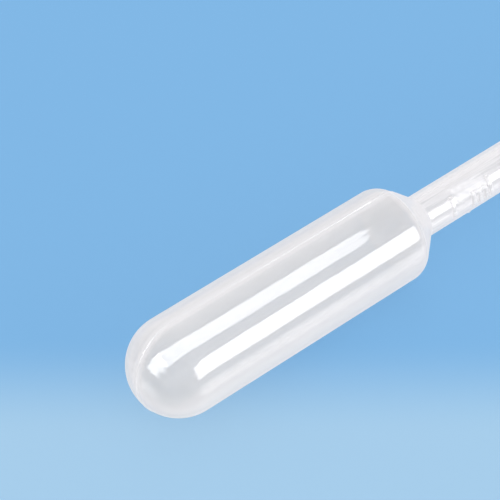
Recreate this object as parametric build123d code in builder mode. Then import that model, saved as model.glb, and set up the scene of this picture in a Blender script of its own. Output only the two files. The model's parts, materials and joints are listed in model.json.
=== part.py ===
"""Dropper pipette: squeeze bulb, graduated stem and drawn tip, blown in one piece.

Millimetres, +Z up. The pipette lies on its side as it comes to rest, touching the ground with the
corner of the bulb's shoulder and with the lip of the tip. The origin is on the ground under the
middle of it, and +X points from the bulb to the tip.

Along the pipette, a station is the distance from the pole of the bulb. Around it, a roll is the
angle from straight up, positive towards -Y.
"""

import os
from math import asin, atan2, cos, degrees, hypot, pi, radians, sin, tan

from build123d import *

# Bulb
bulb_diameter = 12.5
bulb_length = 44.5  # from the pole to the neck
bulb_wall = 0.45
shoulder_radius = 2.4  # rounding between the side of the bulb and the cone
shoulder_angle = 41.0  # slope of the cone, measured from the long axis
neck_radius = 0.3  # rounding between the cone and the stem

# Stem
overall_length = 155.0
stem_diameter = 5.56
stem_wall = 0.63
taper_length = 12.0  # from the straight stem down to the drawn tip
taper_radius = 12.0  # rounding where the taper starts and ends

# Tip
tip_length = 30.0
tip_diameter = 2.4
tip_bore = 1.2
lip_radius = 0.15  # rounding of the outer edge of the mouth

# Parting line of the two mould halves: a fine fin that runs from the pole to the end of the taper
parting_roll = -12.5
parting_width = 0.3
parting_height = 0.04

# Graduation bars, raised on one mould half and rounded across
graduations_ml = (0.25, 0.5, 0.75, 1.0)
bar_width = 0.6
bar_height = 0.15
bar_span = 32.0  # degrees around the stem
bar_offset = 62.0  # degrees from the middle of the mould half to the middle of the bar
bar_root = 0.3  # how far the bar reaches into the wall
bar_end_gap = 1.5  # smallest distance between a bar and either end of the straight stem

# Worked out: radii
bulb_radius = bulb_diameter / 2
stem_radius = stem_diameter / 2
tip_radius = tip_diameter / 2
stem_bore_radius = stem_radius - stem_wall
tip_bore_radius = tip_bore / 2

# Worked out: stations
taper_end = overall_length - tip_length
taper_start = taper_end - taper_length
cone_run = (bulb_radius - stem_radius) / tan(radians(shoulder_angle))
shoulder_station = bulb_length - cone_run
shoulder_setback = shoulder_radius * tan(radians(shoulder_angle) / 2)

# The inside follows the outside. Its cone lies one bulb wall inside the outer cone.
inner_bulb_radius = bulb_radius - bulb_wall
inner_shoulder_radius = shoulder_radius - bulb_wall
cone_inset = bulb_wall * tan(radians(shoulder_angle) / 2)
inner_shoulder_station = shoulder_station - cone_inset
inner_cone_run = (inner_bulb_radius - stem_bore_radius) / tan(radians(shoulder_angle))
inner_neck_station = inner_shoulder_station + inner_cone_run

# At rest the ground is tangent to the rounding of the shoulder and to the lip of the mouth.
contact_run = (overall_length - lip_radius) - (shoulder_station - shoulder_setback)
contact_drop = (bulb_radius - shoulder_radius) - (tip_radius - lip_radius)
rest_tilt = degrees(
    atan2(contact_drop, contact_run)
    + asin((shoulder_radius - lip_radius) / hypot(contact_run, contact_drop))
)
slope_cos = cos(radians(rest_tilt))
slope_sin = sin(radians(rest_tilt))

# Place of the pole: the lip touches the ground, and the whole length is centred on the origin.
lip_station = overall_length - lip_radius
lip_offset = tip_radius - lip_radius
pole_height = lip_radius + lip_station * slope_sin + lip_offset * slope_cos
back_reach = bulb_radius * slope_cos - (bulb_radius + parting_height)
front_reach = lip_station * slope_cos + lip_offset * slope_sin + lip_radius
pole_x = -(back_reach + front_reach) / 2
long_axis = Axis((pole_x, 0, pole_height), (slope_cos, 0, -slope_sin))


def plane_at_roll(roll):
    """Plane through the long axis: local X is the station, local Y the radius at this roll."""
    level = Plane(origin=long_axis.position, x_dir=long_axis.direction, z_dir=(0, -1, 0))
    return Plane(level.location * Rotation(roll, 0, 0))


def outline():
    """Draw the outer edge of the pipette, from the pole to the mouth, in the current line block."""
    dome = RadiusArc((0, 0), (bulb_radius, bulb_radius), bulb_radius)
    FilletPolyline(
        dome @ 1,
        (shoulder_station, bulb_radius),
        (bulb_length, stem_radius),
        (taper_start, stem_radius),
        (taper_end, tip_radius),
        (overall_length, tip_radius),
        (overall_length, 0),
        radius=[shoulder_radius, neck_radius, taper_radius, taper_radius, lip_radius],
    )


def bore_outline():
    """Draw the inner edge of the wall, from the pole to the mouth, in the current line block."""
    dome = RadiusArc((bulb_wall, 0), (bulb_radius, inner_bulb_radius), inner_bulb_radius)
    FilletPolyline(
        dome @ 1,
        (inner_shoulder_station, inner_bulb_radius),
        (inner_neck_station, stem_bore_radius),
        (taper_start, stem_bore_radius),
        (taper_end, tip_bore_radius),
        (overall_length, tip_bore_radius),
        radius=[inner_shoulder_radius, neck_radius + stem_wall, taper_radius, taper_radius],
    )
    Polyline((overall_length, tip_bore_radius), (overall_length, 0))


def station_of_volume(volume_ml):
    """Station at which the bore, filled from the mouth, holds this volume."""
    rest = volume_ml * 1000 - pi * tip_bore_radius**2 * tip_length
    if rest <= 0:
        return taper_end - rest / (pi * tip_bore_radius**2)
    widening = (stem_bore_radius - tip_bore_radius) / taper_length
    taper_volume = pi / (3 * widening) * (stem_bore_radius**3 - tip_bore_radius**3)
    if rest <= taper_volume:
        level_radius = (3 * widening * rest / pi + tip_bore_radius**3) ** (1 / 3)
        return taper_end - (level_radius - tip_bore_radius) / widening
    return taper_start - (rest - taper_volume) / (pi * stem_bore_radius**2)


bar_stations = [
    station
    for station in map(station_of_volume, graduations_ml)
    if bulb_length + bar_end_gap < station < taper_start - bar_end_gap
]
bar_roll = parting_roll + 90 + bar_offset

with BuildPart() as pipette:
    # Outer skin
    with BuildSketch(plane_at_roll(0)):
        with BuildLine():
            outline()
            Line((overall_length, 0), (0, 0))
        make_face()
    revolve(axis=long_axis)

    # Parting line: a fin in the plane between the mould halves, which ends with the taper
    with BuildSketch(plane_at_roll(parting_roll)):
        with BuildLine():
            outline()
            Line((overall_length, 0), (0, 0))
        make_face()
        mirror(about=Plane.XZ)
        offset(amount=parting_height, kind=Kind.INTERSECTION)
        with Locations((taper_end, 0)):
            Rectangle(
                overall_length,
                bulb_diameter,
                align=(Align.MIN, Align.CENTER),
                mode=Mode.SUBTRACT,
            )
    extrude(amount=parting_width / 2, both=True)

    # Graduation bars
    with BuildSketch(plane_at_roll(bar_roll - bar_span / 2)):
        for station in bar_stations:
            with BuildLine():
                crest = ThreePointArc(
                    (station - bar_width / 2, stem_radius),
                    (station, stem_radius + bar_height),
                    (station + bar_width / 2, stem_radius),
                )
                Polyline(
                    crest @ 1,
                    (station + bar_width / 2, stem_radius - bar_root),
                    (station - bar_width / 2, stem_radius - bar_root),
                    crest @ 0,
                )
            make_face()
    revolve(axis=long_axis, revolution_arc=bar_span)

    # Bore, from the inside of the dome to the mouth
    with BuildSketch(plane_at_roll(0)):
        with BuildLine():
            bore_outline()
            Line((overall_length, 0), (bulb_wall, 0))
        make_face()
    revolve(axis=long_axis, mode=Mode.SUBTRACT)

pipette.part.label = "pipette"

os.makedirs("parts", exist_ok=True)
export_step(pipette.part, "parts/pipette.step")

mass_g = pipette.part.volume * 0.00092
print("mass", round(mass_g, 3), "g, centre", pipette.part.center(CenterOf.MASS))
print("tilt", round(rest_tilt, 4), "pole", (round(pole_x, 4), round(pole_height, 4)))
print("bars at", [round(station, 2) for station in bar_stations])
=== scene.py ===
"""Dropper pipette blown in one piece from milky polyethylene, lying on a plain table.

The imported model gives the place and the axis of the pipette. This script makes the smooth
wall, the raised graduation and the finish, and sets the table, the light and the camera.

Lengths are in millimetres in the pipette's own frame, and in metres in the scene. A station
is the distance along the pipette from the pole of the bulb. A roll is the angle around it
from the top, in degrees, positive towards -Y.
"""

import json
import logging
from dataclasses import dataclass
from enum import Enum
from math import asin, cos, degrees, pi, radians, sin, tan
from typing import NamedTuple

import bmesh
import bpy
from mathutils import Euler, Matrix, Vector


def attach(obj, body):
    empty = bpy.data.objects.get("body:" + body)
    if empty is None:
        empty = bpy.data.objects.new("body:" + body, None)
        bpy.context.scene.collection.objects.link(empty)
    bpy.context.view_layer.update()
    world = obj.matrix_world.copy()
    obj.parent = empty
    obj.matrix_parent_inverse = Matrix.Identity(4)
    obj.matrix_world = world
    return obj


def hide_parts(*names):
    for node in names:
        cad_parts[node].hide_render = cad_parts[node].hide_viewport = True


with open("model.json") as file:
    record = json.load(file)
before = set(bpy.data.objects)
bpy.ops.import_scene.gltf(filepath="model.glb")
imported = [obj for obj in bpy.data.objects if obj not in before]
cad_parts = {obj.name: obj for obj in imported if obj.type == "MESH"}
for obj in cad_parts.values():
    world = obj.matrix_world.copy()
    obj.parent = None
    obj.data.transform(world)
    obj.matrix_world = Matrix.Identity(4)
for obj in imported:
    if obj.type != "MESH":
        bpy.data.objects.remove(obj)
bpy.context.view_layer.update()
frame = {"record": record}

log = logging.getLogger("pipette")
MM = 0.001
CUBIC_MM_PER_ML = 1000.0
MERGE_DISTANCE = 0.0005
BODY = "root"
NODE = "pipette"
SLOT = "milky_plastic"
ALONG = Vector((1, 0, 0))
Colour = tuple[float, float, float, float]


def roll_direction(roll: float) -> Vector:
    """Direction away from the long axis at this roll, in the pipette's frame."""
    return Vector((0, -sin(radians(roll)), cos(radians(roll))))


def place_at(station: float, radius: float, roll: float) -> Vector:
    """Point at this station, distance from the long axis and roll, in the pipette's frame."""
    return station * ALONG + radius * roll_direction(roll)


@dataclass(frozen=True)
class LongAxis:
    """The pipette's own frame: +X from the pole of the bulb to the mouth, +Z at roll 0.

    Args:
        pole: Place of the pole of the bulb in the scene.
        tilt: Slope of the axis down towards the mouth, in radians.
    """

    pole: Vector
    tilt: float

    @classmethod
    def of_record(cls, record: dict, overall_length: float) -> "LongAxis":
        """Find the axis from the bore of the tip.

        Args:
            record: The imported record.
            overall_length: Length from the pole to the mouth.

        Returns:
            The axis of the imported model.
        """
        bore = next(mount for mount in record["mounts"] if mount["name"] == "tip_bore")
        along = Vector(bore["axis"])
        pole = Vector(bore["pos_m"]) - along * overall_length * MM
        return cls(pole, asin(-along.z))

    def placement(self) -> Matrix:
        """Matrix from millimetres in the pipette's frame to metres in the scene."""
        turn = Matrix.Rotation(self.tilt, 4, "Y")
        return Matrix.Translation(self.pole) @ turn @ Matrix.Scale(MM, 4)

    def point(self, station: float) -> Vector:
        """Point of the scene on the axis at this station."""
        return self.placement() @ (station * ALONG)


class Ray(Enum):
    """Kinds of ray that the table tells apart."""

    GLOSSY = "Is Glossy Ray"
    DIFFUSE = "Is Diffuse Ray"


class Grain(Enum):
    """How fine a noise is: the number of finer layers on top of the coarse one."""

    SMOOTH = 1.0
    FINE = 2.0


@dataclass
class NodeBoard:
    """Short ways to place and join the nodes of a material or a world.

    Args:
        owner: The material or world.
    """

    owner: bpy.types.ID

    @classmethod
    def of(cls, owner: bpy.types.ID) -> "NodeBoard":
        """Clear the nodes of a new material or world.

        Args:
            owner: The material or world.

        Returns:
            Its empty board.
        """
        owner.use_nodes = True
        owner.node_tree.nodes.clear()
        return cls(owner)

    def put(self, target: bpy.types.NodeSocket, value: object) -> None:
        """Fill an input of a node.

        Args:
            target: The input.
            value: A socket to join to it, or a plain value.
        """
        if isinstance(value, bpy.types.NodeSocket):
            self.owner.node_tree.links.new(value, target)
        else:
            target.default_value = value

    def add(self, kind: str, **values: object) -> bpy.types.Node:
        """Place a node.

        Args:
            kind: Type of the node.
            **values: Sockets or plain values for its inputs, by name.

        Returns:
            The node.
        """
        node = self.owner.node_tree.nodes.new(kind)
        for name, value in values.items():
            self.put(node.inputs[name], value)
        return node

    def math(self, operation: str, *values: object) -> bpy.types.NodeSocket:
        """Place a Math node.

        Args:
            operation: Its operation.
            *values: Sockets or numbers for its inputs.

        Returns:
            Its output.
        """
        node = self.add("ShaderNodeMath")
        node.operation = operation
        for target, value in zip(node.inputs, values):
            self.put(target, value)
        return node.outputs[0]

    def mix(self, share: object, *shaders: bpy.types.Node) -> bpy.types.Node:
        """Mix two shaders.

        Args:
            share: Share of the second shader, a socket or a number.
            *shaders: The two shaders.

        Returns:
            The mixed shader.
        """
        node = self.add("ShaderNodeMixShader")
        sockets = (shader.outputs[0] for shader in shaders)
        for target, value in zip(node.inputs, (share, *sockets)):
            self.put(target, value)
        return node

    def blend(self, share: bpy.types.NodeSocket, *colours: Colour) -> bpy.types.NodeSocket:
        """Blend two colours.

        Args:
            share: Output with the share of the second colour.
            *colours: The two colours.

        Returns:
            Output with the blended colour.
        """
        node = self.add("ShaderNodeMix")
        node.data_type = "RGBA"
        targets = [socket for socket in node.inputs if socket.enabled]
        for target, value in zip(targets, (share, *colours)):
            self.put(target, value)
        return next(socket for socket in node.outputs if socket.enabled)

    def dot(self, vector: bpy.types.NodeSocket, along: Vector) -> bpy.types.NodeSocket:
        """Length of a vector along a direction.

        Args:
            vector: Output with the vector.
            along: The direction.

        Returns:
            Output with the length.
        """
        node = self.add("ShaderNodeVectorMath")
        node.operation = "DOT_PRODUCT"
        self.put(node.inputs[0], vector)
        self.put(node.inputs[1], along)
        return node.outputs["Value"]

    def ramp(
        self,
        value: bpy.types.NodeSocket,
        source: tuple[float, float],
        target: tuple[float, float] = (0.0, 1.0),
    ) -> bpy.types.NodeSocket:
        """Ease a value smoothly from one range to another.

        Args:
            value: Output with the value.
            source: Where the ease starts and ends.
            target: The results there.

        Returns:
            Output with the eased value.
        """
        node = self.add("ShaderNodeMapRange")
        node.interpolation_type = "SMOOTHSTEP"
        for socket, number in zip(node.inputs, (value, *source, *target)):
            self.put(socket, number)
        return node.outputs[0]

    def plateau(
        self,
        value: bpy.types.NodeSocket,
        rise: tuple[float, float],
        fall: tuple[float, float],
        height: float = 1.0,
    ) -> bpy.types.NodeSocket:
        """Rise from 0 to a height over one range of a value, and fall back over the next.

        Args:
            value: Output with the value.
            rise: Where the rise starts and ends.
            fall: Where the fall starts and ends.
            height: The height between them.

        Returns:
            Output with the result.
        """
        risen = self.ramp(value, rise, (0.0, height))
        fallen = self.ramp(value, fall, (0.0, height))
        return self.math("SUBTRACT", risen, fallen)

    def noise(
        self, place: bpy.types.NodeSocket, scale: tuple[float, float, float], grain: Grain
    ) -> bpy.types.NodeSocket:
        """Soft noise that swings about 0, by a half at most.

        Args:
            place: Output with the place.
            scale: Features for each unit of the place, along X, Y and Z.
            grain: How fine the noise is.

        Returns:
            Output with the noise.
        """
        mapping = self.add("ShaderNodeMapping", Vector=place, Scale=scale)
        noise = self.add(
            "ShaderNodeTexNoise", Vector=mapping.outputs[0], Scale=1.0, Detail=grain.value
        )
        return self.math("SUBTRACT", noise.outputs[0], 0.5)

    def slant(self) -> bpy.types.NodeSocket:
        """Output that is 0 where a face is seen square on and 1 where it is seen edge on."""
        return self.add("ShaderNodeLayerWeight").outputs["Facing"]

    def ray(self, kind: Ray) -> bpy.types.NodeSocket:
        """Output that is 1 for this kind of ray."""
        return self.add("ShaderNodeLightPath").outputs[kind.value]

    def finish(self, shader: bpy.types.Node) -> bpy.types.ID:
        """Join the last shader to the output.

        Args:
            shader: The last shader.

        Returns:
            The owner of the nodes.
        """
        kind = "World" if isinstance(self.owner, bpy.types.World) else "Material"
        output = self.add("ShaderNodeOutput" + kind)
        self.put(output.inputs["Surface"], shader.outputs[0])
        return self.owner


class Zone(NamedTuple):
    """Stretch of the pipette along which its wall gets thicker or thinner.

    Args:
        start: Station where it starts to change.
        end: Station where it stops.
        gain: What it gains, as a share of a fully thick wall.
    """

    start: float
    end: float
    gain: float

    @property
    def ends(self) -> tuple[float, float]:
        """Stations where the change starts and stops."""
        return self.start, self.end


@dataclass(frozen=True)
class MilkyPlastic:
    """Natural polyethylene: a milky film at each face of the wall, under a glossy skin.

    Args:
        thin: Linear colour of the milk where the wall is thin.
        shoulder_shade: Linear colour of the milk at the shoulder of the bulb, darkened there as
            painted shade.
        thick: Linear colour of the whitest milk: where the wall is thick, on the painted
            highlights, and at a slant, partly painted sheen.
        film_depth: Optical depth of the film at one face of the wall, seen square on.
        thick_depth: What a fully thick wall adds to it.
        least_cosine: Least cosine of the slant, which keeps the depth at an edge finite.
        milk_slant: Slants between which the milk turns from thin to thick: partly the longer path
            through the milk, partly painted sheen at the edges.
        shoulder_shade_slant: Slants between which the painted shade at the shoulder fades out.
        seam_reach: Distances from the parting plane between which the whiter band along the seam
            fades out: partly the thicker pinched wall, partly a painted highlight.
        dome: Where the wall thickens from the pole on.
        shoulder: Where it thins to the shoulder.
        cone: Where it thickens into the cone.
        stem: Where it thins into the stem.
        rings: Stations of the painted highlight rings at either end of the cone, drawn as thick
            wall, and what they gain.
        ring_reach: Half the width of a painted highlight ring.
        streak_highlights: What the painted highlight streaks gain at most, from the cone on.
        streak_scale: Painted highlight streaks in a millimetre, along the pipette and across it.
        streak_swing: Swings of the noise between which a painted highlight streak builds up.
        passed_light: Share of the scattered light that goes on through the wall.
        gloss: Share of the light that the skin reflects when seen square on.
        gloss_power: Power of the slant by which that share grows.
        most_gloss: Share that it reflects at the flattest slant.
        roughness: Roughness of the skin.
        ripple_height: Height of the ripples of the blown skin, in metres.
        ripple_scale: Ripples in a millimetre, along the pipette and across it.
        ripple_rise: Stations between which the ripples start.
        ripple_fall: Stations between which they stop.
        patch_shift: Distance from a graduation to the middle of its matt patch.
        patch_reach: Half the length of a patch.
        patch_fade: Length over which the ends of a patch fade.
        patch_roll: Roll of the middle of the patches.
        patch_side: Distances from the long axis towards that roll between which they start.
        patch_wander: How far their edges wander, along the pipette and across it.
        patch_height: Height of the patches, in metres.
        patch_roughness: Roughness of the patches.
        dimple_height: Height of the dimples in the patches, in metres.
        dimple_scale: Dimples in a millimetre, each way.
    """

    thin: Colour = (0.805, 0.806, 0.812, 1.0)
    shoulder_shade: Colour = (0.74, 0.742, 0.75, 1.0)
    thick: Colour = (0.995, 0.985, 0.995, 1.0)
    film_depth: float = 0.45
    thick_depth: float = 0.5
    least_cosine: float = 0.02
    milk_slant: tuple[float, float] = (0.15, 0.65)
    shoulder_shade_slant: tuple[float, float] = (0.12, 0.4)
    seam_reach: tuple[float, float] = (0.95, 0.1)
    dome: Zone = Zone(0.5, 6.0, 0.25)
    shoulder: Zone = Zone(32.0, 37.0, -0.15)
    cone: Zone = Zone(40.5, 40.9, 0.6)
    stem: Zone = Zone(44.2, 44.8, -0.36)
    rings: tuple[tuple[float, float], ...] = ((40.8, 1.8), (44.2, 1.0))
    ring_reach: float = 0.25
    streak_highlights: float = 0.6
    streak_scale: tuple[float, float, float] = (0.07, 1.4, 1.4)
    streak_swing: tuple[float, float] = (-0.05, 0.12)
    passed_light: float = 0.5
    gloss: float = 0.04
    gloss_power: float = 5.0
    most_gloss: float = 0.15
    roughness: float = 0.02
    ripple_height: float = 0.00002
    ripple_scale: tuple[float, float, float] = (0.1, 0.6, 0.6)
    ripple_rise: tuple[float, float] = (4.0, 9.0)
    ripple_fall: tuple[float, float] = (26.0, 31.0)
    patch_shift: float = -0.1
    patch_reach: float = 2.5
    patch_fade: float = 0.4
    patch_roll: float = 39.0
    patch_side: tuple[float, float] = (2.46, 2.6)
    patch_wander: tuple[float, float] = (1.6, 0.3)
    patch_height: float = 0.00018
    patch_roughness: float = 0.45
    dimple_height: float = 0.0002
    dimple_scale: tuple[float, float, float] = (1.1, 1.1, 1.1)

    def build(
        self, name: str, axis: LongAxis, parting_roll: float, graduations: list[float]
    ) -> bpy.types.Material:
        """Make the material.

        Args:
            name: Name of the material.
            axis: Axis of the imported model.
            parting_roll: Roll of the plane between the mould halves.
            graduations: Stations of the graduation, from the tip up.

        Returns:
            The material.
        """
        board = NodeBoard.of(bpy.data.materials.new(name))
        local = self._local_place(board, axis)
        slant = board.slant()
        film = self._film(board, local, slant, self._thickness_and_highlights(board, local, parting_roll))
        share = self._gloss_share(board, slant)
        skin = self._skin(board, local, graduations)
        return board.finish(board.mix(share, film, skin))

    def _local_place(self, board: NodeBoard, axis: LongAxis) -> bpy.types.NodeSocket:
        """Place in the pipette's own frame.

        Args:
            board: Board of the material.
            axis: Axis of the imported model.

        Returns:
            Output with the place, in millimetres.
        """
        place = board.add("ShaderNodeTexCoord").outputs["Object"]
        mapping = board.add(
            "ShaderNodeMapping", Vector=place, Location=axis.pole, Scale=(MM, MM, MM)
        )
        mapping.vector_type = "TEXTURE"
        mapping.inputs["Rotation"].default_value = (0, axis.tilt, 0)
        return mapping.outputs[0]

    def _thickness_and_highlights(
        self, board: NodeBoard, local: bpy.types.NodeSocket, parting_roll: float
    ) -> bpy.types.NodeSocket:
        """Share of a fully thick wall, by place on the pipette, with painted light added as thick
        wall: highlight rings, stem streaks and partly the band along the seam.

        Args:
            board: Board of the material.
            local: Output with the place in the pipette's frame.
            parting_roll: Roll of the plane between the mould halves.

        Returns:
            Output with the share.
        """
        station = board.dot(local, ALONG)
        # Whiter band along the seam: partly the thicker pinched wall, partly a painted highlight.
        seam = board.math("ABSOLUTE", board.dot(local, roll_direction(parting_roll + 90)))
        total = board.ramp(seam, self.seam_reach)
        for zone in (self.dome, self.shoulder, self.cone, self.stem):
            total = board.math("ADD", total, board.ramp(station, zone.ends, (0.0, zone.gain)))
        # Painted highlight rings at either end of the cone, drawn as thicker wall.
        for ring, gain in self.rings:
            away = board.math("ABSOLUTE", board.math("SUBTRACT", station, ring))
            ridge = board.ramp(away, (self.ring_reach, 0.0), (0.0, gain))
            total = board.math("ADD", total, ridge)
        # Painted highlight streaks on the stem, drawn as thicker wall.
        most = board.ramp(station, self.cone.ends, (0.0, self.streak_highlights))
        swing = board.noise(local, self.streak_scale, Grain.FINE)
        streak_highlight = board.ramp(swing, self.streak_swing)
        return board.math("ADD", total, board.math("MULTIPLY", most, streak_highlight))

    def _film(
        self,
        board: NodeBoard,
        local: bpy.types.NodeSocket,
        slant: bpy.types.NodeSocket,
        thickness_and_highlights: bpy.types.NodeSocket,
    ) -> bpy.types.Node:
        """Milky film, clearest where the wall is thin and seen square on, with painted shade at
        the shoulder and partly painted sheen at a slant.

        Args:
            board: Board of the material.
            local: Output with the place in the pipette's frame.
            slant: Output with the slant.
            thickness_and_highlights: Output with the share of a fully thick wall, with the painted
                highlights added.

        Returns:
            The shader.
        """
        # A slanting line of sight crosses more of the film: opacity = 1 - exp(-depth / cosine).
        cosine = board.math("MAXIMUM", board.math("SUBTRACT", 1.0, slant), self.least_cosine)
        minus_depth = board.math("MULTIPLY_ADD", thickness_and_highlights, -self.thick_depth, -self.film_depth)
        clearness = board.math("EXPONENT", board.math("DIVIDE", minus_depth, cosine))
        opacity = board.math("SUBTRACT", 1.0, clearness)

        # Whiter where the wall is thick, on the painted highlights, and at a slant: partly the
        # longer path through the milk, partly painted sheen.
        whiteness = board.math("ADD", thickness_and_highlights, board.ramp(slant, self.milk_slant))
        whiteness = board.math("MINIMUM", whiteness, 1.0)
        # Painted shade: the milk is darker at the shoulder of the bulb, and less so at a slant.
        shoulder = board.plateau(board.dot(local, ALONG), self.shoulder.ends, self.cone.ends)
        painted_shade = board.math("MULTIPLY", shoulder, board.ramp(slant, self.shoulder_shade_slant, (1.0, 0.0)))
        thin = board.mix(painted_shade, self._milk(board, self.thin), self._milk(board, self.shoulder_shade))
        milk = board.mix(whiteness, thin, self._milk(board, self.thick))
        return board.mix(opacity, board.add("ShaderNodeBsdfTransparent"), milk)

    def _milk(self, board: NodeBoard, colour: Colour) -> bpy.types.Node:
        """Plastic that scatters light both back and through.

        Args:
            board: Board of the material.
            colour: Linear colour of the milk.

        Returns:
            The shader.
        """
        matt = board.add("ShaderNodeBsdfDiffuse", Color=colour)
        glow = board.add("ShaderNodeBsdfTranslucent", Color=colour)
        return board.mix(self.passed_light, matt, glow)

    def _gloss_share(self, board: NodeBoard, slant: bpy.types.NodeSocket) -> bpy.types.NodeSocket:
        """Share of the light that the skin reflects: more at a slant, and none from inside it.

        Args:
            board: Board of the material.
            slant: Output with the slant.

        Returns:
            Output with the share.
        """
        growth = board.math("POWER", slant, self.gloss_power)
        share = board.math("MULTIPLY_ADD", growth, 1 - self.gloss, self.gloss)
        share = board.math("MINIMUM", share, self.most_gloss)
        inside = board.add("ShaderNodeNewGeometry").outputs["Backfacing"]
        return board.math("MULTIPLY", share, board.math("SUBTRACT", 1.0, inside))

    def _skin(
        self, board: NodeBoard, local: bpy.types.NodeSocket, graduations: list[float]
    ) -> bpy.types.Node:
        """Glossy skin: gentle ripples on the bulb, and matt, dimpled patches by the figures.

        Args:
            board: Board of the material.
            local: Output with the place in the pipette's frame.
            graduations: Stations of the graduation, from the tip up.

        Returns:
            The shader.
        """
        patches = self._patches(board, local, graduations)
        relief = self._relief(board, local, patches)
        bump = board.add("ShaderNodeBump", Height=relief, Distance=1.0)
        roughness = board.ramp(patches, (0.0, 1.0), (self.roughness, self.patch_roughness))
        return board.add("ShaderNodeBsdfGlossy", Roughness=roughness, Normal=bump.outputs[0])

    def _patches(
        self, board: NodeBoard, local: bpy.types.NodeSocket, graduations: list[float]
    ) -> bpy.types.NodeSocket:
        """Mask of the matt patches by the figures.

        Args:
            board: Board of the material.
            local: Output with the place in the pipette's frame.
            graduations: Stations of the graduation, from the tip up.

        Returns:
            Output that is 1 on a patch and 0 elsewhere.
        """
        station = board.dot(local, ALONG)
        last, *_, first = graduations
        spacing = (last - first) / (len(graduations) - 1)
        from_first = board.math("SUBTRACT", station, first + self.patch_shift)
        away = board.math("PINGPONG", from_first, spacing / 2)
        side = board.dot(local, roll_direction(self.patch_roll))

        swing = board.noise(local, self.dimple_scale, Grain.FINE)
        wander_along, wander_across = self.patch_wander
        away = board.math("MULTIPLY_ADD", swing, wander_along, away)
        side = board.math("MULTIPLY_ADD", swing, wander_across, side)

        half_fade = self.patch_fade / 2
        by_station = board.ramp(away, (self.patch_reach + half_fade, self.patch_reach - half_fade))
        by_side = board.ramp(side, self.patch_side)
        on_stem = board.ramp(station, self.stem.ends)
        return board.math("MULTIPLY", board.math("MULTIPLY", by_station, by_side), on_stem)

    def _relief(
        self, board: NodeBoard, local: bpy.types.NodeSocket, patches: bpy.types.NodeSocket
    ) -> bpy.types.NodeSocket:
        """Height of the skin.

        Args:
            board: Board of the material.
            local: Output with the place in the pipette's frame.
            patches: Mask of the patches.

        Returns:
            Output with the height, in metres.
        """
        station = board.dot(local, ALONG)
        height = board.plateau(station, self.ripple_rise, self.ripple_fall, self.ripple_height)
        swing = board.noise(local, self.ripple_scale, Grain.SMOOTH)
        ripple = board.math("MULTIPLY", swing, height)
        swing = board.noise(local, self.dimple_scale, Grain.SMOOTH)
        dimple = board.math("MULTIPLY_ADD", swing, self.dimple_height, self.patch_height)
        return board.math("MULTIPLY_ADD", patches, dimple, ripple)


def make_piece(name: str, mesh: bmesh.types.BMesh, finish: bpy.types.Material) -> bpy.types.Object:
    """Turn a bmesh into an object that rides on the pipette's body.

    Args:
        name: Name of the piece.
        mesh: The bmesh, in metres in the scene. It is freed.
        finish: Material of the piece.

    Returns:
        The piece.
    """
    data = bpy.data.meshes.new(name)
    mesh.to_mesh(data)
    mesh.free()
    data.materials.append(finish)
    data.shade_smooth()
    piece = bpy.data.objects.new(name, data)
    bpy.context.scene.collection.objects.link(piece)
    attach(piece, BODY)
    log.info("%s: %d faces", name, len(data.polygons))
    return piece


def close_mesh(mesh: bmesh.types.BMesh) -> None:
    """Merge the points that meet, and turn the faces outwards."""
    bmesh.ops.remove_doubles(mesh, verts=mesh.verts[:], dist=MERGE_DISTANCE)
    bmesh.ops.recalc_face_normals(mesh, faces=mesh.faces[:])


class Corner(NamedTuple):
    """Corner of the section of the wall.

    Args:
        station: Its station.
        radius: Its distance from the long axis.
        rounding: Radius of its rounding.
        segments: Segments of its rounding.
    """

    station: float
    radius: float
    rounding: float = 0.0
    segments: int = 0


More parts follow.
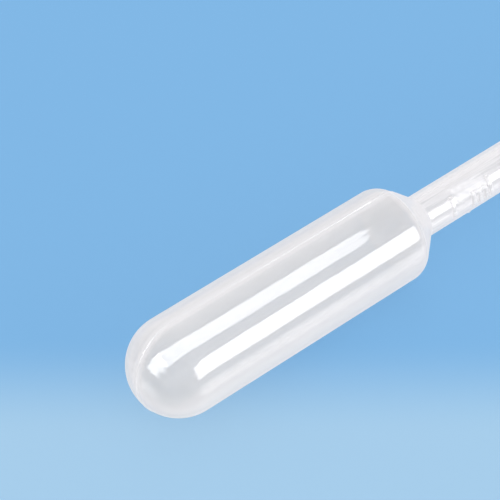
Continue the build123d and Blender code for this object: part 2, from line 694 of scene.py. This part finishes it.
@dataclass
class Wall:
    """The hollow wall of the bulb, the stem and the drawn tip, with the parting line.

    Args:
        bulb_diameter: Outer diameter of the bulb.
        bulb_length: Length of the bulb and the cone, from the pole to the neck.
        bulb_wall: Thickness of the wall of the bulb.
        shoulder_radius: Rounding between the side of the bulb and the cone.
        shoulder_angle: Slope of the cone from the long axis, in degrees.
        neck_radius: Rounding between the cone and the stem.
        overall_length: Length from the pole to the mouth.
        stem_diameter: Outer diameter of the stem.
        stem_wall: Thickness of the wall of the stem.
        taper_length: Length of the taper from the stem to the drawn tip.
        taper_radius: Rounding where the taper starts and ends.
        tip_length: Length of the drawn tip.
        tip_diameter: Outer diameter of the tip.
        tip_bore: Diameter of the bore of the tip.
        lip_radius: Rounding of the outer edge of the mouth.
        mouth_radius: Rounding of the inner edge of the mouth.
        parting_roll: Roll of the plane between the mould halves.
        parting_width: Full width of the fin of the parting line.
        parting_height: Full height of the fin.
        parting_growth: Stations along the fin, with its size there as a share of its full size.
        dome_segments: Segments of the rounding of the dome.
        corner_segments: Segments of every other rounding.
        ring_spacing: Distance that two rings of points are apart at most.
        parting_sector: Angle with fine steps across each side of the parting line, in degrees.
        parting_steps: Steps round one such sector.
        half_steps: Steps round the rest of a mould half.
    """

    bulb_diameter: float = 12.5
    bulb_length: float = 44.5
    bulb_wall: float = 0.45
    shoulder_radius: float = 2.4
    shoulder_angle: float = 41.0
    neck_radius: float = 0.3
    overall_length: float = 155.0
    stem_diameter: float = 5.56
    stem_wall: float = 0.63
    taper_length: float = 12.0
    taper_radius: float = 12.0
    tip_length: float = 30.0
    tip_diameter: float = 2.4
    tip_bore: float = 1.2
    lip_radius: float = 0.15
    mouth_radius: float = 0.05
    parting_roll: float = -14.0
    parting_width: float = 0.36
    parting_height: float = 0.11
    parting_growth: tuple[tuple[float, float], ...] = (
        (0.0, 0.6),
        (2.5, 0.45),
        (4.0, 0.3),
        (17.0, 0.35),
        (19.0, 0.5),
        (33.0, 0.5),
        (38.0, 1.3),
        (41.0, 1.3),
        (44.5, 0.6),
        (112.0, 0.6),
        (125.0, 0.3),
    )
    dome_segments: int = 40
    corner_segments: int = 12
    ring_spacing: float = 2.5
    parting_sector: float = 10.0
    parting_steps: int = 36
    half_steps: int = 84

    @property
    def stem_radius(self) -> float:
        """Outer radius of the stem."""
        return self.stem_diameter / 2

    @property
    def stem_bore_radius(self) -> float:
        """Inner radius of the stem."""
        return self.stem_radius - self.stem_wall

    @property
    def taper_end(self) -> float:
        """Station where the drawn tip starts."""
        return self.overall_length - self.tip_length

    @property
    def taper_start(self) -> float:
        """Station where the straight stem ends."""
        return self.taper_end - self.taper_length

    def level(self, volume: float) -> float:
        """Find how high a volume of liquid stands in the straight stem.

        Args:
            volume: Volume from the mouth up, in millilitres.

        Returns:
            Station of its level.
        """
        tip, stem = self.tip_bore / 2, self.stem_bore_radius
        tip_volume = pi * tip**2 * self.tip_length
        taper_volume = pi / 3 * (tip**2 + tip * stem + stem**2) * self.taper_length
        stem_volume = volume * CUBIC_MM_PER_ML - tip_volume - taper_volume
        return self.taper_start - stem_volume / (pi * stem**2)

    def build(self, axis: LongAxis, finish: bpy.types.Material) -> bpy.types.Object:
        """Make the wall.

        Args:
            axis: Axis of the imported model.
            finish: The milky plastic.

        Returns:
            The wall.
        """
        mesh = bmesh.new()
        self._draw_section(mesh)
        self._spin_section(mesh)
        self._raise_parting_line(mesh)
        mesh.transform(axis.placement())
        wall = make_piece("pipette_wall", mesh, finish)
        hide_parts(NODE)
        return wall

    def _corners(self) -> list[Corner]:
        """Corners of the section.

        Returns:
            The corners from the outer pole, round the mouth and back to the inner pole.
        """
        slope = radians(self.shoulder_angle)
        bulb, stem, tip = self.bulb_diameter / 2, self.stem_radius, self.tip_diameter / 2
        bulb_bore, stem_bore = bulb - self.bulb_wall, self.stem_bore_radius
        tip_bore = self.tip_bore / 2
        shoulder = self.bulb_length - (bulb - stem) / tan(slope)
        bore_shoulder = shoulder - self.bulb_wall * tan(slope / 2)
        bore_neck = bore_shoulder + (bulb_bore - stem_bore) / tan(slope)
        dome, corner = self.dome_segments, self.corner_segments
        return [
            Corner(0, 0),
            Corner(0, bulb, bulb, dome),
            Corner(shoulder, bulb, self.shoulder_radius, corner),
            Corner(self.bulb_length, stem, self.neck_radius, corner),
            Corner(self.taper_start, stem, self.taper_radius, corner),
            Corner(self.taper_end, tip, self.taper_radius, corner),
            Corner(self.overall_length, tip, self.lip_radius, corner),
            Corner(self.overall_length, tip_bore, self.mouth_radius, corner),
            Corner(self.taper_end, tip_bore, self.taper_radius, corner),
            Corner(self.taper_start, stem_bore, self.taper_radius, corner),
            Corner(bore_neck, stem_bore, self.neck_radius + self.stem_wall, corner),
            Corner(bore_shoulder, bulb_bore, self.shoulder_radius - self.bulb_wall, corner),
            Corner(self.bulb_wall, bulb_bore, bulb_bore, dome),
            Corner(self.bulb_wall, 0),
        ]

    def _draw_section(self, mesh: bmesh.types.BMesh) -> None:
        """Draw the section of the wall at roll 0, round its corners and divide its long edges.

        Args:
            mesh: Empty bmesh that takes the section.
        """
        corners = self._corners()
        places = [place_at(corner.station, corner.radius, 0) for corner in corners]
        chain = [mesh.verts.new(place) for place in places]
        for ends in zip(chain, chain[1:]):
            mesh.edges.new(ends)
        for index in range(1, len(chain) - 1):
            before, here, after = places[index - 1 : index + 2]
            turn = (here - before).angle(after - here)
            bmesh.ops.bevel(
                mesh,
                geom=[chain[index]],
                offset=corners[index].rounding * tan(turn / 2),
                offset_type="OFFSET",
                segments=corners[index].segments,
                profile=0.5,
                affect="VERTICES",
                material=-1,
            )
        bmesh.ops.remove_doubles(mesh, verts=mesh.verts[:], dist=MERGE_DISTANCE)
        for edge in mesh.edges[:]:
            cuts = int(edge.calc_length() / self.ring_spacing)
            if cuts:
                bmesh.ops.subdivide_edges(mesh, edges=[edge], cuts=cuts)

    def _spin_section(self, mesh: bmesh.types.BMesh) -> None:
        """Spin the section into the whole wall, in fine steps across the parting line.

        Args:
            mesh: Bmesh with the section.
        """
        start = self.parting_roll - self.parting_sector / 2
        turn = Matrix.Rotation(radians(start), 4, "X")
        bmesh.ops.transform(mesh, matrix=turn, verts=mesh.verts[:])
        front = mesh.verts[:] + mesh.edges[:]
        rest = 180 - self.parting_sector
        sectors = [(self.parting_sector, self.parting_steps), (rest, self.half_steps)] * 2
        for angle, steps in sectors:
            swept = bmesh.ops.spin(
                mesh,
                geom=front,
                cent=(0, 0, 0),
                axis=ALONG,
                angle=radians(angle),
                steps=steps,
            )
            front = swept["geom_last"]
        close_mesh(mesh)

    def _raise_parting_line(self, mesh: bmesh.types.BMesh) -> None:
        """Raise the fin between the mould halves, from the pole to the end of the taper.

        Args:
            mesh: Bmesh of the wall.
        """
        across = roll_direction(self.parting_roll + 90)
        moves = []
        for vert in mesh.verts:
            core = max(vert.co.x, self.bulb_diameter / 2) * ALONG
            reach = vert.co - core
            if vert.co.x > self.taper_end or vert.normal.dot(reach) <= 0:
                continue
            scale = self._parting_scale(vert.co.x)
            half = scale * self.parting_width / 2
            if vert.co.x > self.bulb_length:
                half = min(half, reach.length * sin(radians(self.parting_sector / 2)))
            share = abs(vert.co.dot(across)) / half
            if share < 1:
                moves.append((vert, vert.normal * scale * self.parting_height * (1 - share)))
        for vert, move in moves:
            vert.co += move

    def _parting_scale(self, station: float) -> float:
        """Size of the fin at a station, as a share of its full size.

        Args:
            station: Station on the pipette.

        Returns:
            The share.
        """
        for (start, low), (end, high) in zip(self.parting_growth, self.parting_growth[1:]):
            if station < end:
                share = max(0.0, station - start) / (end - start)
                return low + (high - low) * share
        return high


@dataclass
class Graduation:
    """Raised bars and figures on one side of the stem.

    Args:
        volumes: Volumes that the bars mark, in millilitres, from the tip up.
        labels: Figures of the bars.
        station_decimals: Decimals to which the stations of the bars are rounded.
        bar_width: Width of a bar along the stem.
        bar_height: Height of a bar above the stem.
        bar_span: Angle that a bar spans round the stem, in degrees.
        bar_roll: Roll of the middle of the bars.
        bar_sink: How far the underside of a bar reaches into the stem.
        bar_end: Power that gives a bar an even crest with short, rounded ends.
        crest_segments: Segments across a bar.
        span_segments: Segments along a bar, round the stem.
        figure_size: Size of the type.
        figure_space: Width of a word space, as a share of the usual one.
        figure_shift: Distance from a bar to the middle of its figures.
        figure_weight: How much is added to the strokes on each side.
        figure_height: How far the figures stand out of the stem, and reach into it.
        figure_rounding: Rounding of the edges of the strokes.
        figure_roll: Roll of the middle of the figures.
        curve_steps: Steps in each curve of the type.
        rounding_steps: Steps in the rounding of the strokes.
        strip: Width of the strips in which the type bends round the stem.
    """

    volumes: tuple[float, ...] = (0.25, 0.5, 0.75, 1.0)
    labels: tuple[str, ...] = (".25", ".5", ".75", "1 ml")
    station_decimals: int = 2
    bar_width: float = 0.6
    bar_height: float = 0.15
    bar_span: float = 26.0
    bar_roll: float = 142.0
    bar_sink: float = 0.02
    bar_end: float = 12.0
    crest_segments: int = 8
    span_segments: int = 32
    figure_size: float = 3.8
    figure_space: float = 1.9
    figure_shift: float = -0.55
    figure_weight: float = 0.13
    figure_height: float = 0.26
    figure_rounding: float = 0.22
    figure_roll: float = 64.0
    curve_steps: int = 6
    rounding_steps: int = 3
    strip: float = 0.12

    def stations(self, wall: Wall) -> list[float]:
        """Stations of the bars on this wall, from the tip up."""
        return [round(wall.level(volume), self.station_decimals) for volume in self.volumes]

    def build_bars(self, wall: Wall, axis: LongAxis, finish: bpy.types.Material) -> None:
        """Make the bars.

        Args:
            wall: Wall that carries them.
            axis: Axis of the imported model.
            finish: The milky plastic.
        """
        mesh = bmesh.new()
        for station in self.stations(wall):
            self._add_bar(mesh, wall.stem_radius, station)
        close_mesh(mesh)
        mesh.transform(axis.placement())
        make_piece("graduation_bars", mesh, finish)

    def _add_bar(self, mesh: bmesh.types.BMesh, stem_radius: float, station: float) -> None:
        """Add the crest and the underside of one bar, a rounded ridge that fades out at its ends.

        Args:
            mesh: Bmesh of the bars.
            stem_radius: Outer radius of the stem.
            station: Station of the bar.
        """
        for rise in (self.bar_height + self.bar_sink, 0.0):
            sheet = bmesh.ops.create_grid(
                mesh, x_segments=self.crest_segments, y_segments=self.span_segments, size=1.0
            )
            for vert in sheet["verts"]:
                side, along, _ = vert.co
                bulge = (1 - side**2) * (1 - abs(along) ** self.bar_end)
                vert.co = place_at(
                    station + side * self.bar_width / 2,
                    stem_radius - self.bar_sink + rise * bulge,
                    self.bar_roll + along * self.bar_span / 2,
                )

    def build_figures(self, wall: Wall, axis: LongAxis, finish: bpy.types.Material) -> None:
        """Make the figures beside the bars.

        Args:
            wall: Wall that carries them.
            axis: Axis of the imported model.
            finish: The milky plastic.
        """
        mesh = bmesh.new()
        for station, label in zip(self.stations(wall), self.labels):
            data = self._text_mesh(label)
            data.transform(Matrix.Translation((station + self.figure_shift, 0, 0)))
            mesh.from_mesh(data)
            bpy.data.meshes.remove(data)
        self._wrap(mesh, wall.stem_radius)
        mesh.transform(axis.placement())
        make_piece("graduation_figures", mesh, finish)

    def _text_mesh(self, label: str) -> bpy.types.Mesh:
        """Make flat raised text, centred on its origin.

        Args:
            label: The text.

        Returns:
            Its mesh.
        """
        curve = bpy.data.curves.new("figures", "FONT")
        curve.body = label
        curve.size = self.figure_size
        curve.space_word = self.figure_space
        curve.align_x = "CENTER"
        curve.align_y = "CENTER"
        curve.resolution_u = self.curve_steps
        curve.extrude = self.figure_height - self.figure_rounding
        curve.bevel_depth = self.figure_rounding
        curve.bevel_resolution = self.rounding_steps
        curve.offset = self.figure_weight - self.figure_rounding
        holder = bpy.data.objects.new("figures", curve)
        bpy.context.scene.collection.objects.link(holder)
        graph = bpy.context.evaluated_depsgraph_get()
        data = bpy.data.meshes.new_from_object(holder.evaluated_get(graph))
        bpy.data.objects.remove(holder)
        bpy.data.curves.remove(curve)
        return data

    def _wrap(self, mesh: bmesh.types.BMesh, stem_radius: float) -> None:
        """Cut flat text into strips and wrap it round the stem, its tops towards roll 0.

        Args:
            mesh: Bmesh of the text, which takes the result.
            stem_radius: Outer radius of the stem.
        """
        bmesh.ops.remove_doubles(mesh, verts=mesh.verts[:], dist=MERGE_DISTANCE)
        lowest = min(vert.co.y for vert in mesh.verts)
        highest = max(vert.co.y for vert in mesh.verts)
        for cut in range(1, int((highest - lowest) / self.strip) + 1):
            everything = mesh.verts[:] + mesh.edges[:] + mesh.faces[:]
            level = (0, lowest + cut * self.strip, 0)
            bmesh.ops.bisect_plane(mesh, geom=everything, plane_co=level, plane_no=(0, 1, 0))
        for vert in mesh.verts:
            roll = self.figure_roll - degrees(vert.co.y / stem_radius)
            vert.co = place_at(vert.co.x, stem_radius + vert.co.z, roll)
        bmesh.ops.recalc_face_normals(mesh, faces=mesh.faces[:])


@dataclass(frozen=True)
class TableFinish:
    """Satin blue, lighter at the front, with a neutral bounce on what stands on it.

    Args:
        back: Linear colour of the back of the table.
        front: Linear colour of the front.
        fade: Where the colour starts and ends to change, in metres towards the back.
        fade_direction: Direction towards the back.
        bounce: Linear colour of the light that the table throws back on things.
        own_light: Share of the colour that a shadow leaves.
        polish: Share of the light that the table mirrors.
        polish_rise: Slants between which the table starts to mirror.
        polish_fall: Slants between which it stops again.
        roughness: Roughness of the polish.
    """

    back: Colour = (0.222, 0.480, 0.795, 1.0)
    front: Colour = (0.387, 0.617, 0.838, 1.0)
    fade: tuple[float, float] = (-0.0355, -0.051)
    fade_direction: tuple[float, float, float] = (0.6513, 0.7588, 0.0)
    bounce: Colour = (0.88, 0.88, 0.88, 1.0)
    own_light: float = 0.6
    polish: float = 0.33
    polish_rise: tuple[float, float] = (0.25, 0.62)
    polish_fall: tuple[float, float] = (0.77, 0.87)
    roughness: float = 0.12

    def build(self, name: str) -> bpy.types.Material:
        """Make the material.

        Args:
            name: Name of the material.

        Returns:
            The material.
        """
        board = NodeBoard.of(bpy.data.materials.new(name))
        place = board.add("ShaderNodeTexCoord").outputs["Object"]
        share = board.ramp(board.dot(place, Vector(self.fade_direction)), self.fade)
        colour = board.blend(share, self.back, self.front)
        matt = board.add("ShaderNodeBsdfDiffuse", Color=colour)
        light = board.add("ShaderNodeEmission", Color=colour)
        seen = board.mix(self.own_light, matt, light)
        bounce = board.add("ShaderNodeBsdfDiffuse", Color=self.bounce)
        base = board.mix(board.ray(Ray.DIFFUSE), seen, bounce)

        # Only things on the table see its polish, so the camera meets no glare.
        mirrored = board.plateau(board.slant(), self.polish_rise, self.polish_fall, self.polish)
        share = board.math("MULTIPLY", mirrored, board.ray(Ray.GLOSSY))
        shine = board.add("ShaderNodeBsdfGlossy", Roughness=self.roughness)
        return board.finish(board.mix(share, base, shine))


@dataclass
class Table:
    """A plain table top that takes the shadow of the pipette.

    Args:
        size: Length of a side, in metres.
        finish: Its finish.
    """

    size: float = 8.0
    finish: TableFinish = TableFinish()

    def build(self) -> bpy.types.Object:
        """Make the table top, level with the ground.

        Returns:
            The table top.
        """
        mesh = bmesh.new()
        bmesh.ops.create_grid(mesh, x_segments=1, y_segments=1, size=self.size / 2)
        data = bpy.data.meshes.new("table_top")
        mesh.to_mesh(data)
        mesh.free()
        data.materials.append(self.finish.build("table_finish"))
        top = bpy.data.objects.new("table_top", data)
        bpy.context.scene.collection.objects.link(top)
        log.info("table_top: %.1f m square", self.size)
        return top


class LampUse(Enum):
    """What a lamp does: it shows in the gloss, or it fills the matt surfaces with light."""

    GLOSS = (True, False)
    FILL = (False, True)


@dataclass(frozen=True)
class Panel:
    """A soft rectangular lamp.

    Args:
        centre: Centre, measured from the middle of the bulb, in metres.
        size: Length and height, in metres.
        turn: Euler angles, in degrees. The lamp shines along its own -Z.
        radiance: Radiance of its face.
        use: What the lamp does.
    """

    centre: tuple[float, float, float]
    size: tuple[float, float]
    turn: tuple[float, float, float]
    radiance: float
    use: LampUse = LampUse.GLOSS

    def build(self, name: str, middle: Vector) -> None:
        """Make the lamp.

        Args:
            name: Name of the lamp.
            middle: Middle of the bulb in the scene.
        """
        lamp = bpy.data.lights.new(name, "AREA")
        lamp.shape = "RECTANGLE"
        lamp.size, lamp.size_y = self.size
        lamp.energy = self.radiance * pi * self.size[0] * self.size[1]
        holder = bpy.data.objects.new(name, lamp)
        holder.location = middle + Vector(self.centre)
        holder.rotation_euler = Euler([radians(angle) for angle in self.turn])
        shows, fills = self.use.value
        holder.visible_camera = False
        holder.visible_glossy = shows
        holder.visible_diffuse = fills
        holder.visible_transmission = fills
        bpy.context.scene.collection.objects.link(holder)
        log.info("%s: %.1f W", name, lamp.energy)


@dataclass
class Studio:
    """The soft room light, the lamps and the camera around the pipette.

    Args:
        room: Linear colour of the room light.
        middle_station: Station of the middle of the bulb.
        camera_place: Place of the camera.
        camera_turn: Euler angles of the camera, in degrees.
        lens: Focal length of the camera, in millimetres.
        sensor: Width of its sensor, in millimetres.
        sight: Shortest and longest distance that it sees, in metres.
    """

    room: Colour = (0.95, 0.95, 0.95, 1.0)
    middle_station: float = 22.0
    camera_place: tuple[float, float, float] = (-0.1785275, -0.1379396, 0.2205957)
    camera_turn: tuple[float, float, float] = (42.14, 0.0, -40.621)
    lens: float = 169.742
    sensor: float = 36.0
    sight: tuple[float, float] = (0.01, 20.0)

    def build(self, axis: LongAxis) -> None:
        """Set the light and the camera.

        Args:
            axis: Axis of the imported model.
        """
        board = NodeBoard.of(bpy.data.worlds.new("room"))
        light = board.add("ShaderNodeBackground", Color=self.room)
        bpy.context.scene.world = board.finish(light)
        middle = axis.point(self.middle_station)
        for name, panel in self._panels().items():
            panel.build(name, middle)
        self._set_camera()

    def _panels(self) -> dict[str, Panel]:
        """Choose the lamps: one at the side, a long bank overhead and a wall of them at the back.

        Returns:
            The lamps by name.
        """
        side = (0.2695, -0.5363, 0.2485), (0.585, 0.367), (90.0, 0.0, 25.3)
        level = (0.0, 0.0, 0.0)
        upright = (90.0, 0.0, -100.0)
        return {
            "side_lamp": Panel(*side, 11.5),
            "side_fill": Panel(*side, 2.1, LampUse.FILL),
            "top_lamp": Panel((-0.1495, 0.027, 0.6), (1.101, 0.132), level, 9.2),
            "top_lamp_front": Panel((-0.163, -0.144, 0.6), (1.074, 0.21), level, 8.5),
            "top_lamp_end": Panel((0.3846, -0.144, 0.6), (0.05, 0.212), (0.0, 0.0, 7.0), 8.2),
            "top_lamp_back": Panel((-0.396, 0.117, 0.6), (0.46, 0.2), (0.0, 0.0, -27.3), 10.5),
            "back_lamp": Panel((-0.5967, 0.0719, 0.49), (0.414, 0.38), upright, 10.5),
            "back_lamp_side": Panel((-0.6402, -0.1752, 0.49), (0.088, 0.38), upright, 4.5),
            "back_lamp_low": Panel((-0.5901, 0.1087, 0.215), (0.2945, 0.17), upright, 10.5),
            "back_lamp_low_side": Panel((-0.6223, -0.0733, 0.215), (0.075, 0.17), upright, 4.5),
        }

    def _set_camera(self) -> None:
        """Make the camera and look through it."""
        camera = bpy.data.cameras.new("camera")
        camera.lens = self.lens
        camera.sensor_width = self.sensor
        camera.clip_start, camera.clip_end = self.sight
        holder = bpy.data.objects.new("camera", camera)
        holder.location = self.camera_place
        holder.rotation_euler = Euler([radians(angle) for angle in self.camera_turn])
        bpy.context.scene.collection.objects.link(holder)
        bpy.context.scene.camera = holder
        bpy.context.scene.view_settings.view_transform = "Standard"
        log.info("camera at %s", self.camera_place)


def main() -> None:
    """Build the pipette, the table and the studio."""
    logging.basicConfig(level=logging.INFO, format="%(name)s: %(message)s")
    wall = Wall()
    graduation = Graduation()
    axis = LongAxis.of_record(frame["record"], wall.overall_length)
    stations = graduation.stations(wall)
    finish = MilkyPlastic().build(SLOT, axis, wall.parting_roll, stations)
    wall.build(axis, finish)
    graduation.build_bars(wall, axis, finish)
    graduation.build_figures(wall, axis, finish)
    Table().build()
    Studio().build(axis)


if __name__ == "__main__":
    main()
